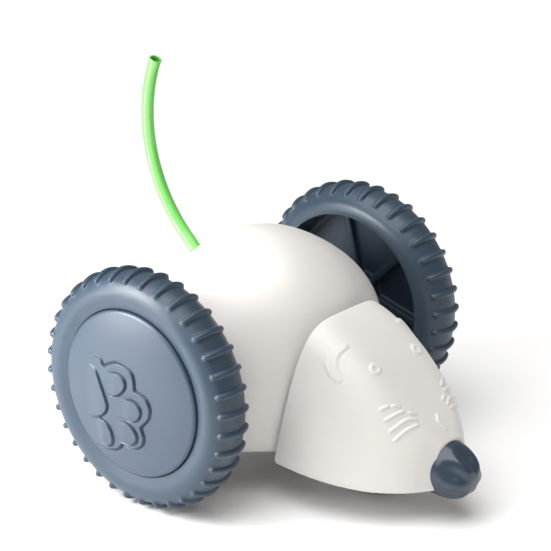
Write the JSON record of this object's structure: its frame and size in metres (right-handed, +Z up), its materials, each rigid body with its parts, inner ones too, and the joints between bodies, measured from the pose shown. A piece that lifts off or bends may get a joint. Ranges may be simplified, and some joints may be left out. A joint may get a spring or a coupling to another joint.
{
  "type": "clockwork toy mouse",
  "caption": "Rolling toy mouse: egg-shaped body between two large ribbed wheels, soft head cap, rubber nose and curved tube tail, driven by a pull-back spring motor.",
  "frame": {"origin": "on the floor under the middle of the object's box", "axes": "+Z up, the mouse looks along -Y, the drive axle lies along X, +X is the mouse's left side"},
  "size_m": [0.106, 0.1168, 0.1045],
  "materials": {
    "shell_white": "satin moulded ABS, warm white",
    "sleeve_white": "soft matte silicone, warm white",
    "nose_slate": "semi-gloss rubber, dark slate blue",
    "tyre_slate": "matte rubber, slate blue",
    "wheel_slate": "matte moulded plastic, slate blue",
    "cap_slate": "matte moulded plastic, slate blue",
    "tail_green": "glossy translucent silicone tube, leaf green",
    "chassis_grey": "matte moulded plastic, grey",
    "gear_nylon": "natural nylon, off white",
    "bush_acetal": "black acetal",
    "steel": "bright drawn steel",
    "spring_steel": "blued spring steel",
    "screw_steel": "zinc plated steel"
  },
  "bodies": {
    "chassis": {"body_shell": "shell_white", "belly_plate": "shell_white", "belly_screws": "screw_steel", "head_sleeve": "sleeve_white", "head_core": "shell_white", "nose": "nose_slate", "tail_peg": "shell_white", "axle_bush_left": "bush_acetal", "axle_bush_right": "bush_acetal", "motor_case_left": "chassis_grey", "motor_case_right": "chassis_grey", "motor_screws": "screw_steel", "drum_arbor": "steel", "compound_pin": "steel", "roller_pin": "steel", "roller_fork": "shell_white"},
    "wheelset": {"drive_axle": "steel", "axle_gear": "gear_nylon", "rim_left": "wheel_slate", "rim_right": "wheel_slate", "tyre_left": "tyre_slate", "tyre_right": "tyre_slate", "hub_cap_left": "cap_slate", "hub_cap_right": "cap_slate", "wheel_nuts": "screw_steel"},
    "compound": {"compound_gear": "gear_nylon"},
    "drum": {"spring_drum": "gear_nylon", "drum_cover": "gear_nylon", "mainspring": "spring_steel"},
    "tail": {"tail_tube": "tail_green"},
    "roller": {"front_roller": "wheel_slate"}
  },
  "joints": [
    {"name": "wheel_spin", "type": "hinge", "parent": "chassis", "child": "wheelset", "pos_m": [0, 0.0169, 0.0325], "axis": [1, 0, 0], "continuous": true},
    {"name": "compound_spin", "type": "hinge", "parent": "chassis", "child": "compound", "pos_m": [0, 0.0219, 0.04536], "axis": [1, 0, 0], "continuous": true},
    {"name": "drum_spin", "type": "hinge", "parent": "chassis", "child": "drum", "pos_m": [0, 0.00768, 0.04311], "axis": [1, 0, 0], "continuous": true},
    {"name": "tail_swivel", "type": "hinge", "parent": "chassis", "child": "tail", "pos_m": [0, 0.0385, 0.0515], "axis": [0, 0.7314, 0.682], "continuous": true},
    {"name": "roller_spin", "type": "hinge", "parent": "chassis", "child": "roller", "pos_m": [0, -0.0251, 0.005], "axis": [1, 0, 0], "continuous": true}
  ],
  "couplings": [
    {"joint": "compound_spin", "follows": "wheel_spin", "ratio": -0.4375},
    {"joint": "drum_spin", "follows": "wheel_spin", "ratio": 0.14583}
  ]
}
